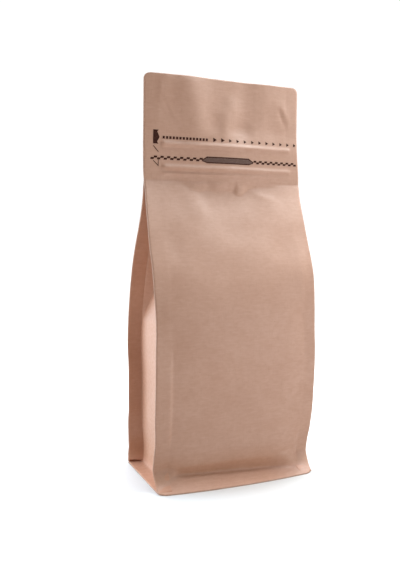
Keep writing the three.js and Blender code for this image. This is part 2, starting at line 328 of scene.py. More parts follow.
@dataclass(frozen=True)
class PouchForm:
    """Sizes of the pouch and the curves that its sheets follow, in millimetres.

    A pair that ends in _up or _across holds the heights, or the places across, between
    which a size comes in or fades. The header's wave, the roundings and their sharpness
    come from the same fit as the folds, and the panels' depths started from it.
    """

    height: float = 345.5
    base_width: float = 145.6
    base_depth: float = 91.6
    base_bow: float = 3.6
    base_corner: float = 8.0
    top_corner: float = 5.3
    seal_thickness: float = 1.0
    crease_height: float = 7.2
    crease_tilt: float = 2.6
    crease_depth: float = 31.8
    crease_fades: float = 4.5
    crease_fade_across: Span = (30.0, 58.0)
    body_starts: float = 20.0
    left_flat: float = 13.5
    right_flat: float = 10.5
    fin_thickness: float = 0.7
    left_rounding: float = 41.0
    right_rounding: float = 34.5
    left_sharpness: float = 2.25
    right_sharpness: float = 2.7
    foot_rounding: float = 3.0
    foot_rounding_up: Span = (-4.0, 30.0)
    added_rounding: float = 16.0
    added_rounding_up: Span = (130.0, 190.0)
    softness: float = 14.0
    crossing: float = 2.0
    crossing_fade: float = 40.0
    cover_softness: float = 1.2
    cover_fade: float = 8.0
    cover_sharpness: float = 0.25
    cover_sharp_up: Span = (195.0, 225.0)
    cover_width: float = 18.0
    cover_top: float = 22.0
    cover_narrows_up: Span = (200.0, 230.0)
    wall_from_middle: float = 62.3
    wall_inset: float = 2.2
    wall_inset_up: Span = (10.0, 60.0)
    wall_flare: float = 0.8
    wall_flare_up: Span = (1.5, 6.0)
    wall_corner: float = 0.9
    fold_corner: float = 0.2
    fold_corner_up: Span = (110.0, 140.0)
    half_wall: float = 37.2
    fold_starts: float = 135.0
    fold_rate: float = 0.36
    least_fold: float = 3.0
    least_gap: float = 0.4
    strip_bottom: float = 257.5
    strip_thickness: float = 1.2
    strip_dome: float = 0.35
    strip_middle: float = 274.0
    strip_half: float = 17.0
    least_depth: float = 0.5
    band_left: float = -58.0
    band_right: float = 65.7
    band_end: float = 1.5
    band_strengths: Span = (1.4, 0.85)
    band_strengths_across: Span = (-60.0, 60.0)
    strip_bend: float = 11.0
    wave_starts: float = 288.0
    wave_full: float = 306.0
    wave_quick: float = 0.75
    foot_top: float = 16.0
    half_widths: Stations = (
        (1, 72.8), (16, 74.2), (36, 74.4), (60, 75.2), (110, 75.2), (132, 74.9), (180, 75.8),
        (205, 75.7), (228, 75.2), (249, 74.8), (264, 75.2), (275, 74.8), (290, 74.35),
        (345.5, 74.2),
    )
    drift: Stations = (
        (1.3, -1.2), (16, -0.2), (38, 0), (62, 0.1), (90, 0), (115, 0.2), (140, 0.4), (170, 0),
        (221, -0.1), (242, 0.35), (249, 0.8), (257, 1.4), (268, 1), (280, 0.4), (290, 0),
        (345.5, 0),
    )
    fin_depths: Stations = (
        (16, 30.2), (28, 32.2), (40, 35.2), (50, 35.8), (75, 36.3), (100, 37.3), (130, 36.9),
        (155, 33.5), (180, 28.1), (205, 17.7), (230, 6.8), (245, 2.3), (254, 1.1), (257.5, 0.25),
    )
    foot_tips: Stations = ((1.3, 43), (1.9, 41.4), (5.7, 37), (10.7, 33), (16, 30.2))
    foot_roots: Stations = ((1.3, 45.2), (2, 43.2), (3.5, 40.2), (5.7, 36), (10.7, 33), (16, 30.2))
    back_fins: Stations = (
        (1.3, 1), (1.9, 1.5), (5.7, 3.4), (10.7, 4), (16, 4), (28, 2), (42, 0.3), (60, -1),
        (90, -0.8), (112, 1), (138, 0.9), (155, 0), (172, -0.9), (190, -0.4), (202, -0.8),
        (216, -1.4), (235, -1.1), (243, -0.9), (250, 0),
    )
    foot_gap: Stations = ((1.3, 7), (1.9, 7), (2.9, 0.4), (3.8, 0))
    panel_depths: Stations = (
        (7, 31.6), (10, 32.6), (18, 36.3), (30, 37.5), (50, 35.5), (80, 36.6), (115, 40.2),
        (140, 39.4), (160, 35), (180, 28.8), (205, 19.6), (230, 7.5), (245, 2.1), (257.5, 0.8),
    )
    sways: Stations = (
        (1.3, 0), (16, -1.6), (30, -1.8), (60, -0.5), (90, 0.1), (120, -1), (135, -1), (150, 0.3),
        (165, 1.4), (180, 2.6), (205, 2.6), (225, 3.9), (232, 3.9), (250, 1), (257.5, 0),
    )
    wave: Stations = (
        (-74, 0.1), (-60, 1.3), (-46, 1.5), (-32, 0.9), (-20, 0.6), (-9, -0.1), (0, -0.7),
        (9, -1.3), (20, -2.2), (32, -0.6), (45, -1), (58, -1.6), (74, -2.1),
    )
    back_curl: Stations = (
        (1.3, -1.5), (3, -2), (6, -0.9), (10, 0.7), (16, 1.6), (22, 2.3), (28, 3), (35, 2.6),
        (42, 1.8), (52, 0), (65, 0.5), (90, 0), (105, 0.5), (120, 1.1), (140, 1.5), (165, 1),
        (185, 0.3), (200, 0),
    )
    left_curl: Stations = (
        (15, 0), (30, 0.8), (45, 0.8), (65, 0), (200, 0), (222, 1.3), (243, 1.3), (253, 0),
    )
    right_curl: Stations = ((45, 0), (75, 0.8), (110, 0.8), (135, 0))
    strip_foot: Stations = (
        (-74, 257), (-62, 257), (-48, 257), (-40, 255), (-35, 251.5), (-30, 249), (-24, 248.5),
        (-17, 250.5), (-9, 249.5), (0, 249.8), (8, 250), (12, 246), (14.5, 246), (19, 249),
        (25, 252.5), (32, 254), (40, 254), (56, 256), (74, 257),
    )
    strip_wave: Stations = (
        (-74, 0), (-46, 0.5), (-22, 1.7), (2, 3.2), (26, 2.3), (50, 0.7), (74, -0.5),
    )
    band_rises: Stations = (
        (257.5, -0.2), (259, -0.2), (261.4, -0.1), (263, 0.3), (263.6, 0.32), (265.2, -0.1),
        (265.6, -0.1), (268, 1.1), (268.8, 1.15), (271.6, 0.12), (273.2, 0), (280, 0),
        (285, 0.05), (287, 0.9), (287.8, 1.1), (288.5, 1), (291.3, 0.05), (292, 0),
    )
    curves: dict[str, Profile] = field(default_factory=dict, compare=False)

    def curve(self, name: str) -> Profile:
        """Makes a curve through the stations of one name, once.

        Args:
            name: the field that holds the stations.

        Returns:
            The smooth curve.
        """
        if name not in self.curves:
            soft = self.softness if name in SOFT_CURVES else 0.0
            self.curves[name] = Profile(getattr(self, name), soft)
        return self.curves[name]

    def outline(self, z: Array) -> Array:
        """Works out the outline, with the rounded top corners.

        Args:
            z: heights.

        Returns:
            Its half width at each height.
        """
        into = np.clip(z - (self.height - self.top_corner), 0.0, self.top_corner)
        cut = self.top_corner - np.sqrt(self.top_corner**2 - into**2)
        return self.curve("half_widths")(z) - cut

    def flat(self, x: Array) -> Array:
        """Returns the width of the flat border beside the fin, which is wider on the left."""
        return np.where(x < 0, self.left_flat, self.right_flat)

    def base_reach(self, x: Array) -> Array:
        """Returns how far the base's long edges, which bow out, stand from the middle."""
        straight = self.base_width / 2 - self.base_corner
        return self.base_depth / 2 + self.base_bow * (1 - np.clip(x / straight, -1.0, 1.0) ** 2)

    def fin_root(self, z: Array, back: Array) -> Array:
        """Works out where the fins meet the panel.

        Args:
            z: heights.
            back: whether the fins are the back ones.

        Returns:
            How far they stand out from the middle plane.
        """
        low = (z < self.foot_top) & np.logical_not(back)
        depth = np.where(low, self.curve("foot_roots")(z), self.curve("fin_depths")(z))
        moved = self.curve("back_fins")(np.maximum(z, self.foot_top)) + self.curve("foot_gap")(z)
        return depth + np.where(back, moved, 0.0)

    def fin_tip(self, z: Array, back: Array, left: Array) -> Array:
        """Works out the fins' outer edge.

        Args:
            z: heights.
            back: whether the fin is a back one.
            left: whether it is a left one.

        Returns:
            How far it stands out from the middle plane.
        """
        low = z < self.foot_top
        depth = np.where(low, self.curve("foot_tips")(z), self.curve("fin_depths")(z))
        curl = np.where(left, self.curve("left_curl")(z), self.curve("right_curl")(z))
        behind = self.curve("back_fins")(z) + self.curve("back_curl")(z)
        return depth + np.where(back, behind, curl)

    def panel_reach(self, x: Array, z: Array) -> Array:
        """Works out how deep the lip, its crease and the bulging panel reach.

        Args:
            x: places across the panel, as seen from its own side.
            z: heights.

        Returns:
            The distance from the middle plane in the middle of the panel's rounding.
        """
        crease = self.crease_height - self.crease_tilt * (x / self.wall_from_middle)
        lip_up = np.clip((z - self.seal_thickness) / (crease - self.seal_thickness), 0.0, 1.0)
        shallow = self.crease_fades * ease(x, *self.crease_fade_across)
        lip = blend(self.base_reach(x), self.crease_depth + shallow, lip_up)
        first = self.panel_depths[0][0]
        body_up = np.clip((z - crease) / (self.body_starts - crease), 0.0, 1.0)
        low = self.curve("panel_depths")(blend(first, self.body_starts, body_up))
        low = low + shallow * (1 - body_up)
        body = np.where(z >= self.body_starts, self.curve("panel_depths")(z), low)
        return np.where(z <= crease, lip, body)

    def rounding(self, x: Array, z: Array) -> Array:
        """Works out the width of the panel's rounding.

        Args:
            x: places across the panel.
            z: heights.

        Returns:
            How far it runs in from the flat border.
        """
        full = np.where(x < 0, self.left_rounding, self.right_rounding)
        low = blend(self.foot_rounding, full, ease(z, *self.foot_rounding_up))
        return low + self.added_rounding * ease(z, *self.added_rounding_up)

    def band(self, x: Array, z: Array) -> Array:
        """Works out the closing band's ridges and grooves on the strip.

        Args:
            x: places across the strip.
            z: heights.

        Returns:
            How far the paper stands out.
        """
        left, right, end = self.band_left, self.band_right, self.band_end
        ends = ease(x, left - end, left + end)
        ends = ends * ease(-x, -right - end, end - right)
        dome = np.clip(1 - ((z - self.strip_middle) / self.strip_half) ** 2, 0.0, 1.0)
        strength = blend(*self.band_strengths, ease(x, *self.band_strengths_across))
        return ends * strength * self.curve("band_rises")(z) + self.strip_dome * dome

    def header_shift(self, x: Array, z: Array) -> Array:
        """Works out the strip's bow and the header's wave and folds.

        Args:
            x: places across the pouch.
            z: heights.

        Returns:
            How far they move both panels forwards.
        """
        rise = ease(z, self.wave_starts, self.wave_full)
        foot = np.clip((z - self.curve("strip_foot")(x)) / self.strip_bend, 0.0, 1.0)
        bow = self.curve("strip_wave")(x) * (1 - (1 - foot) ** 2) * (1 - rise)
        slow = (1 - self.wave_quick) * ease(z, self.wave_starts, self.height)
        wave = self.curve("wave")(x) * (self.wave_quick * rise + slow)
        return bow + wave + sum(fold.at(x, z) for fold in HEADER_FOLDS) * rise

    def lowest(self, x: Array, z: Array, face: Face) -> Array:
        """Works out how deep a panel has to stay to cover the side sheets behind it.

        Args:
            x: places across the pouch.
            z: heights.
            face: the panel.

        Returns:
            The least distance of the panel's outer face from the middle plane.
        """
        low = self.wall_from_middle - self.cover_width
        near = blend(low, self.cover_top, ease(z, *self.cover_narrows_up))
        cover = self.fin_root(z, face is Face.BACK) + self.fin_thickness / 2
        return blend(self.least_depth, cover, ease(np.abs(x), near, self.wall_from_middle))

    def body_depth(self, x: Array, z: Array, face: Face) -> Array:
        """Works out the depth of a panel below the strip, before the sway.

        Args:
            x: places across the pouch.
            z: heights.
            face: the panel.

        Returns:
            The distance of the panel's outer face from the middle plane.
        """
        flat = self.flat(x)
        root = self.outline(z) - flat
        share = np.clip((np.abs(x) - root) / flat, 0.0, 1.0)
        back = face is Face.BACK
        fin = blend(self.fin_root(z, back), self.fin_tip(z, back, x < 0), share)
        fin = fin + self.fin_thickness / 2
        inward = np.clip((root - np.abs(x)) / self.rounding(x, z), 0.0, 1.0)
        rise = 1 - (1 - inward) ** np.where(x < 0, self.left_sharpness, self.right_sharpness)
        reach = self.panel_reach(x * -face.value, z)
        soft = self.crossing * ease(self.strip_bottom - z, 0.0, self.crossing_fade)
        reach = np.where((z < self.foot_top) & (not back), reach, higher(reach, fin, soft))
        return blend(fin, reach, rise)

    def panel(self, x: Array, z: Array, face: Face, relief: Array) -> Array:
        """Works out the outer face of a whole panel, from the lip to the header.

        Args:
            x: places across the pouch.
            z: heights.
            face: the panel.
            relief: how far dents and folds lift the panel below the strip.

        Returns:
            The Y of the panel's outer face.
        """
        soft = self.cover_softness * ease(self.strip_bottom - z, 0.0, self.cover_fade)
        soft = soft * blend(self.cover_sharpness, 1.0, ease(z, *self.cover_sharp_up))
        depth = higher(self.body_depth(x, z, face) + relief, self.lowest(x, z, face), soft)
        depth = np.where(z < self.foot_top, self.body_depth(x, z, face) + relief, depth)
        body = face.value * depth - self.curve("sways")(z)
        strip = face.value * (self.strip_thickness / 2 + self.band(x, z))
        return np.where(z >= self.strip_bottom, strip, body) - self.header_shift(x, z)


# ---------------------------------------------------------------- mesh making


def wrapped_sheet(
    name: str,
    columns: int,
    rows: int,
    place: Callable[[Array, Array], Array],
) -> bpy.types.Object:
    """Makes a grid and wraps it to a form.

    Args:
        name: the piece's name.
        columns: faces across the sheet.
        rows: faces up the sheet.
        place: gives the points in millimetres for shares across and up the sheet.

    Returns:
        The new object, at the origin and in metres.
    """
    sheet = bmesh.new()
    bmesh.ops.create_grid(sheet, x_segments=columns, y_segments=rows, size=1.0)
    flat = np.array([vertex.co for vertex in sheet.verts])
    low, high = flat.min(axis=0), flat.max(axis=0)
    points = place(
        (flat[:, 0] - low[0]) / (high[0] - low[0]), (flat[:, 1] - low[1]) / (high[1] - low[1])
    )
    for vertex, point in zip(sheet.verts, points.tolist()):
        vertex.co = Vector(point) * MM
    return finished(name, sheet)


def finished(name: str, mesh: bmesh.types.BMesh, smooth: bool = True) -> bpy.types.Object:
    """Turns a bmesh into an object at the origin.

    Args:
        name: the piece's name.
        mesh: the bmesh, in metres, which is freed.
        smooth: whether its faces are shaded smooth.

    Returns:
        The new object, linked to the scene.
    """
    data = bpy.data.meshes.new(name)
    for face in mesh.faces:
        face.smooth = smooth
    mesh.to_mesh(data)
    mesh.free()
    made = bpy.data.objects.new(name, data)
    bpy.context.scene.collection.objects.link(made)
    return made


def thicken(piece: bpy.types.Object, thickness: float, rim: int = 1) -> None:
    """Gives a sheet its thickness inwards, with its own material on the cut edge.

    Args:
        piece: the sheet, whose faces point outwards.
        thickness: millimetres.
        rim: how many material slots the cut edge lies after the face.
    """
    wall = piece.modifiers.new("Thickness", "SOLIDIFY")
    wall.thickness = thickness * MM
    wall.offset = -1.0
    wall.use_even_offset = False
    wall.material_offset_rim = rim


def rows_between(bands: Sequence[tuple[float, float, float]]) -> Array:
    """Works out the heights of a sheet's rows.

    Args:
        bands: low end, high end and step of each stretch, from the bottom up.

    Returns:
        The heights, each stretch divided evenly.
    """
    heights = [bands[0][0]]
    for low, high, step in bands:
        count = max(1, round((high - low) / step))
        heights += [low + (high - low) * (i + 1) / count for i in range(count)]
    return np.array(heights)


# ---------------------------------------------------------------- finishes


@dataclass(frozen=True)
class Grain:
    """One noise of a finish: its scale, its stretch, its turn in degrees and its strength.

    It shows from the first value of the noise and reaches its full share at the second.
    """

    scale: float
    stretch: Colour
    turn: float
    shows: Span
    share: float
    detail: float = 3.0


class Graph:
    """Adds and joins the nodes of one material."""

    def __init__(self, name: str) -> None:
        """Starts a material with nothing but its output.

        Args:
            name: the material's name.
        """
        self.material = bpy.data.materials.new(name)
        self.material.use_nodes = True
        self.nodes = self.material.node_tree.nodes
        self.links = self.material.node_tree.links
        self.nodes.clear()
        self.output = self.nodes.new("ShaderNodeOutputMaterial")

    def add(self, kind: str, **inputs: object) -> bpy.types.Node:
        """Adds a node.

        Args:
            kind: the node's type, without its ShaderNode prefix.
            inputs: socket values or sockets to join, by name, with _ for a space.

        Returns:
            The new node.
        """
        node = self.nodes.new("ShaderNode" + kind)
        for name, value in inputs.items():
            self.join(value, node.inputs[name.replace("_", " ")])
        return node

    def join(self, value: object, socket: Socket) -> None:
        """Joins a socket to another, or sets its value.

        Args:
            value: a value, or the socket that gives it.
            socket: the input.
        """
        if isinstance(value, bpy.types.NodeSocket):
            self.links.new(value, socket)
        else:
            socket.default_value = value

    def maths(self, kind: str, first: object, second: object) -> Socket:
        """Adds a Math node.

        Args:
            kind: its operation.
            first: a value or socket.
            second: a value or socket.

        Returns:
            The result.
        """
        node = self.nodes.new("ShaderNodeMath")
        node.operation = kind
        for value, socket in zip((first, second), node.inputs):
            self.join(value, socket)
        return node.outputs[0]

    def mix(self, share: object, first: object, second: object, how: str = "MIX") -> Socket:
        """Adds a colour mix.

        Args:
            share: how much of the second colour shows.
            first: a colour or socket.
            second: a colour or socket.
            how: the way of mixing.

        Returns:
            The mixed colour.
        """
        node = self.nodes.new("ShaderNodeMix")
        node.data_type = "RGBA"
        node.blend_type = how
        for value, index in ((share, 0), (first, 6), (second, 7)):
            wide = (*value, 1.0) if isinstance(value, tuple) and len(value) == 3 else value
            self.join(wide, node.inputs[index])
        return node.outputs[2]

    def range(self, value: Socket, span: Span, to_low: float, to_high: float) -> Socket:
        """Adds a node that carries a value from one range to another, held at its ends.

        Args:
            value: the value.
            span: the range it comes from.
            to_low: what it becomes at the low end.
            to_high: what it becomes at the high end.

        Returns:
            The value in its new range.
        """
        node = self.add("MapRange", Value=value)
        ends = {"From Min": span[0], "From Max": span[1], "To Min": to_low, "To Max": to_high}
        for name, end in ends.items():
            node.inputs[name].default_value = end
        return node.outputs[0]

    def clouds(self, at: Socket, grain: Grain) -> Socket:
        """Adds noise that is stretched and turned in the plane of the panels.

        Args:
            at: the coordinates.
            grain: the noise's sizes.

        Returns:
            The noise's factor.
        """
        turned = self.add("Mapping", Vector=at)
        turned.inputs["Rotation"].default_value = (0.0, math.radians(grain.turn), 0.0)
        turned.inputs["Scale"].default_value = grain.stretch
        made = self.add(
            "TexNoise", Vector=turned.outputs[0], Scale=grain.scale, Detail=grain.detail
        )
        return made.outputs["Fac"]

    def tinted(self, factor: Socket, grain: Grain, under: object, over: Colour) -> Socket:
        """Returns a tone with the grain's colour laid over it where its noise is strong."""
        return self.mix(self.range(factor, grain.shows, 0.0, grain.share), under, over)

    def finish(self, shader: bpy.types.Node) -> bpy.types.Material:
        """Joins the shader to the output and returns the material."""
        self.links.new(shader.outputs[0], self.output.inputs["Surface"])
        return self.material


@dataclass(frozen=True)
class KraftPaper:
    """Brown kraft paper with long fibres, a cloudy formation and a dull satin face.

    Low on the pouch, less so on the right, it is tinted warmer and darker as painted
    shade, and paler on the lip of the base as painted light. Heights and widths of those
    zones are in metres.
    """

    name: str = "kraft_face"
    brown: Colour = (0.423, 0.258, 0.187)
    dark: Colour = (0.345, 0.199, 0.137)
    light: Colour = (0.500, 0.330, 0.254)
    fleck: Colour = (0.22, 0.115, 0.07)
    # Painted shade: a warmer, darker tint low on the pouch, fading towards the right.
    painted_shade_tint: Colour = (0.99, 0.93, 0.84)
    painted_shade_up: Span = (0.008, 0.030)
    painted_shade_across: Span = (0.025, 0.060)
    painted_shade_right: float = 0.3
    # Painted light: the lip of the base is tinted paler and whiter.
    painted_lip_light: Colour = (1.09, 1.08, 1.13)
    painted_lip_light_up: Span = (0.0045, 0.009)
    cloud: Grain = Grain(38.0, (1.0, 1.0, 1.0), 0.0, (0.35, 0.65), 0.30)
    mottle: Grain = Grain(420.0, (0.5, 1.0, 1.0), 3.0, (0.40, 0.66), 0.22)
    lying: Grain = Grain(900.0, (0.12, 0.6, 1.0), 4.0, (0.50, 0.72), 0.29)
    standing: Grain = Grain(900.0, (1.0, 0.6, 0.16), -7.0, (0.54, 0.76), 0.26)
    flecks: Grain = Grain(1150.0, (0.3, 0.8, 0.9), 35.0, (0.68, 0.76), 0.22, 2.0)
    roughness: Span = (0.44, 0.58)
    rough_over: Span = (0.35, 0.65)
    bump: float = 0.35
    bump_mm: float = 0.035
    fine_relief: float = 0.8
    gloss: float = 0.5

    def make(self) -> bpy.types.Material:
        """Mixes the paper.

        Returns:
            Its material.
        """
        graph = Graph(self.name)
        at = graph.add("TexCoord").outputs["Object"]
        mottle, lying, standing = (
            graph.clouds(at, grain) for grain in (self.mottle, self.lying, self.standing)
        )
        tone = graph.tinted(graph.clouds(at, self.cloud), self.cloud, self.brown, self.light)
        tone = graph.tinted(mottle, self.mottle, tone, self.dark)
        tone = graph.tinted(lying, self.lying, tone, self.light)
        tone = graph.tinted(standing, self.standing, tone, self.dark)
        tone = graph.tinted(graph.clouds(at, self.flecks), self.flecks, tone, self.fleck)
        place = graph.add("SeparateXYZ", Vector=at).outputs
        # Painted shade: low on the pouch, and less on its right, the paper is tinted warmer and
        # darker.
        painted_shade = graph.range(place["Z"], self.painted_shade_up, 1.0, 0.0)
        aside = graph.range(place["X"], self.painted_shade_across, 1.0, self.painted_shade_right)
        tone = graph.mix(graph.maths("MULTIPLY", painted_shade, aside), tone, self.painted_shade_tint, "MULTIPLY")
        # Painted light: the lowest few millimetres, the lip of the base, are tinted paler.
        lip = graph.range(place["Z"], self.painted_lip_light_up, 1.0, 0.0)
        tone = graph.mix(lip, tone, self.painted_lip_light, "MULTIPLY")
        relief = graph.maths("ADD", graph.maths("MULTIPLY", mottle, self.fine_relief), lying)
        fibres = graph.maths("MULTIPLY", standing, self.fine_relief)
        relief = graph.maths("ADD", relief, fibres)
        bumps = graph.add("Bump", Strength=self.bump, Distance=self.bump_mm * MM, Height=relief)
        shader = graph.add("BsdfPrincipled", Base_Color=tone, Normal=bumps.outputs[0])
        rough = graph.range(mottle, self.rough_over, *self.roughness)
        graph.join(rough, shader.inputs["Roughness"])
        shader.inputs["Specular IOR Level"].default_value = self.gloss
        return graph.finish(shader)


@dataclass(frozen=True)
class RedBounceWallPaper(KraftPaper):
    """The same paper on the side walls, tinted redder as painted bounce light for their shaded
    recesses.
    """

    name: str = "kraft_wall_painted_bounce"
    # Painted bounce light: these browns are redder than the front paper's.
    brown: Colour = (0.453, 0.253, 0.172)
    dark: Colour = (0.369, 0.195, 0.126)
    light: Colour = (0.535, 0.323, 0.234)


@dataclass(frozen=True)
class GrainedFinish:
    """A finish of two tones and one grain, which its kinds below give their values."""

    name: str
    under: Colour
    over: Colour
    grain: Grain
    roughness: Span
    bump: float = 0.2
    bump_mm: float = 0.02
    rough_over: Span = (0.3, 0.7)
    gloss: float = 0.5

    def make(self) -> bpy.types.Material:
        """Mixes the finish.

        Returns:
            Its material.
        """
        graph = Graph(self.name)
        at = graph.add("TexCoord").outputs["Object"]
        grain = graph.clouds(at, self.grain)
        tone = graph.tinted(grain, self.grain, self.under, self.over)
        bumps = graph.add("Bump", Strength=self.bump, Distance=self.bump_mm * MM, Height=grain)
        shader = graph.add("BsdfPrincipled", Base_Color=tone, Normal=bumps.outputs[0])
        rough = graph.range(grain, self.rough_over, *self.roughness)
        graph.join(rough, shader.inputs["Roughness"])
        shader.inputs["Specular IOR Level"].default_value = self.gloss
        return graph.finish(shader)


@dataclass(frozen=True)
class CutEdge(GrainedFinish):
    """The greyish cut edge, where the layers of paper and film show."""

    name: str = "cut_edge"
    under: Colour = (0.33, 0.22, 0.165)
    over: Colour = (0.44, 0.32, 0.255)
    grain: Grain = Grain(700.0, (1.0, 1.0, 1.0), 0.0, (0.4, 0.65), 1.0)
    roughness: Span = (0.7, 0.85)
    bump: float = 0.3
    bump_mm: float = 0.03


@dataclass(frozen=True)
class LinerFilm(GrainedFinish):
    """The pale film that lines the paper, seen only at the top edge."""

    name: str = "liner_film"
    under: Colour = (0.40, 0.33, 0.29)
    over: Colour = (0.30, 0.235, 0.20)
    grain: Grain = Grain(500.0, (1.0, 1.0, 0.2), 0.0, (0.35, 0.65), 1.0, 2.0)
    roughness: Span = (0.45, 0.6)


@dataclass(frozen=True)
class PrintInk(GrainedFinish):
    """Dark brown ink that lets a little of the paper's grain through."""

    name: str = "print_ink"
    under: Colour = (0.034, 0.010, 0.006)
    over: Colour = (0.085, 0.036, 0.024)
    grain: Grain = Grain(900.0, (0.5, 1.0, 1.0), 8.0, (0.5, 0.75), 0.8)
    roughness: Span = (0.6, 0.75)
    gloss: float = 0.12


@dataclass(frozen=True)
class BarInk(PrintInk):
    """The thinner, paler ink that fills the bar."""

    name: str = "bar_ink"
    under: Colour = (0.115, 0.074, 0.062)
    over: Colour = (0.16, 0.105, 0.09)


@dataclass(frozen=True)
class StudioWhite:
    """The plain pale floor, greyer near the pouch as painted shade; its zones are in metres."""

    name: str = "studio_white"
    near: float = 0.62
    far: float = 0.95
    fades: Span = (0.21, 0.27)
    roughness: float = 0.9

    def make(self) -> bpy.types.Material:
        """Mixes the floor's white.

        Returns:
            Its material.
        """
        graph = Graph(self.name)
        at = graph.add("TexCoord").outputs["Object"]
        away = graph.nodes.new("ShaderNodeVectorMath")
        away.operation = "LENGTH"
        graph.join(at, away.inputs[0])
        tone = graph.range(away.outputs["Value"], self.fades, 0.0, 1.0)
        # Painted shade: the floor is greyer within about a quarter metre of the pouch.
        painted_shade_grey = graph.mix(tone, (self.near,) * 3, (self.far,) * 3)
        shader = graph.add("BsdfPrincipled", Base_Color=painted_shade_grey, Roughness=self.roughness)
        shader.inputs["Specular IOR Level"].default_value = 0.0
        return graph.finish(shader)


@dataclass
class Finishes:
    """The materials of the pouch, each made once."""

    paper: bpy.types.Material
    wall_paper: bpy.types.Material
    edge: bpy.types.Material
    film: bpy.types.Material
    ink: bpy.types.Material
    bar_ink: bpy.types.Material

    @classmethod
    def mixed(cls) -> Finishes:
        """Mixes every finish of the pouch.

        Returns:
            The materials.
        """
        mixes = (KraftPaper(), RedBounceWallPaper(), CutEdge(), LinerFilm(), PrintInk(), BarInk())
        return cls(*(finish.make() for finish in mixes))


def dress(piece: bpy.types.Object, *materials: bpy.types.Material) -> None:
    """Gives a piece its materials and its body.

    Args:
        piece: the piece.
        materials: its materials, in the order of its slots.
    """
    for material in materials:
        piece.data.materials.append(material)
    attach(piece, "root")


# ---------------------------------------------------------------- sub-assemblies


@dataclass
class Panel:
    """The front or the back sheet, from the lip of the base to the header's top edge."""

    form: PouchForm
    face: Face
    crumple: Crumple
    thickness: float = 0.35
    fin_columns: int = 8
    middle_columns: int = 104
    crumple_at: float = 50.0
    crumple_up: Span = (8.0, 30.0)
    border_crumple: float = 0.35
    border: Span = (1.0, 14.0)
    folds_up: Span = (6.0, 9.0)
    folds_fade: float = 3.0
    bands: tuple[tuple[float, float, float], ...] = (
        (1.3, 12, 0.9), (12, 40, 1.7), (40, 232, 2.7), (232, 257.5, 1.3),
        (257.5, 292, 0.8), (292, 340.2, 1.9), (340.2, 345.5, 0.75),
    )

    def relief(self, x: Array, z: Array) -> Array:
        """Works out the dents and folds of this panel below the strip.

        Args:
            x: places across the pouch.
            z: heights.

        Returns:
            How far they lift the paper outwards.
        """
        form = self.form
        if self.face is Face.FRONT:
            folds = sum(fold.at(x, z) for fold in FRONT_FOLDS + FOOT_FOLDS)
        else:
            folds = sum(fold.at(-x, z) for fold in BACK_FOLDS)
        border = ease(form.outline(z) - np.abs(x), *self.border)
        crumple = self.crumple.at(x, np.full_like(x, self.crumple_at * self.face.value), z)
        crumple = crumple * ease(z, *self.crumple_up) * blend(self.border_crumple, 1.0, border)
        folds = folds * ease(form.strip_bottom - z, 0.0, self.folds_fade)
        return folds * border * ease(z, *self.folds_up) + crumple

    def outer(self, x: Array, z: Array) -> Array:
        """Returns the Y of the panel's outer face, with its dents and folds."""
        return self.form.panel(x, z, self.face, self.relief(x, z))

    def heights(self) -> Array:
        """Returns the heights of the sheet's rows, the lip's edge first."""
        return np.concatenate([[self.form.seal_thickness], rows_between(self.bands)])

    def lip(self, x: Array, out: Array) -> tuple[Array, Array]:
        """Carries the lowest row round the base's rounded corners.

        Args:
            x: places across the pouch.
            out: shares of the way from the flat border's inner line to the fin's edge.

        Returns:
            The X and Y of the lip's edge.
        """
        form = self.form
        straight = form.base_width / 2 - form.base_corner
        root = form.outline(np.float64(self.bands[0][0])) - form.flat(x)
        arc = form.base_corner * math.pi / 4
        run = out * (straight - root + arc)
        turn = np.clip(run - (straight - root), 0.0, arc) / form.base_corner
        on_line = root + np.minimum(run, straight - root)
        lip_x = np.where(out > 0, on_line + form.base_corner * np.sin(turn), np.abs(x))
        depth = form.base_reach(lip_x) - form.base_corner * (1 - np.cos(turn))
        return np.sign(x) * lip_x, self.face.value * depth

    def place(self, across: Array, up: Array) -> Array:
        """Places the grid's points on the panel.

        Args:
            across: shares of the way from the left fin to the right one.
            up: shares of the way from the lip to the top edge.

        Returns:
            The points in millimetres.
        """
        form, heights = self.form, self.heights()
        row = np.rint(up * (len(heights) - 1)).astype(int)
        z = heights[row]
        count = 2 * self.fin_columns + self.middle_columns
        step = np.rint(across * count) - count / 2
        half_middle = self.middle_columns / 2
        half = form.outline(np.maximum(z, self.bands[0][0]))
        root = half - form.flat(step)
        inner = step / half_middle * root
        out = np.clip((np.abs(step) - half_middle) / self.fin_columns, 0.0, 1.0)
        x = np.where(out > 0, np.sign(step) * blend(root, half, out), inner)
        y = self.outer(x, z)
        lip_x, lip_y = self.lip(x, out)
        x, y = np.where(row == 0, lip_x, x), np.where(row == 0, lip_y, y)
        return np.stack([x + form.curve("drift")(z), y, z], axis=1)

    def build(self, finishes: Finishes) -> bpy.types.Object:
        """Makes and dresses the panel.

        Args:
            finishes: the pouch's materials.

        Returns:
            The panel.
        """
        name = self.face.name.lower() + "_panel"
        columns = 2 * self.fin_columns + self.middle_columns
        sheet = wrapped_sheet(name, columns, len(self.heights()) - 1, self.place)
        if self.face is Face.BACK:
            sheet.data.flip_normals()
        thicken(sheet, self.thickness)
        dress(sheet, finishes.paper, finishes.edge)
        return sheet


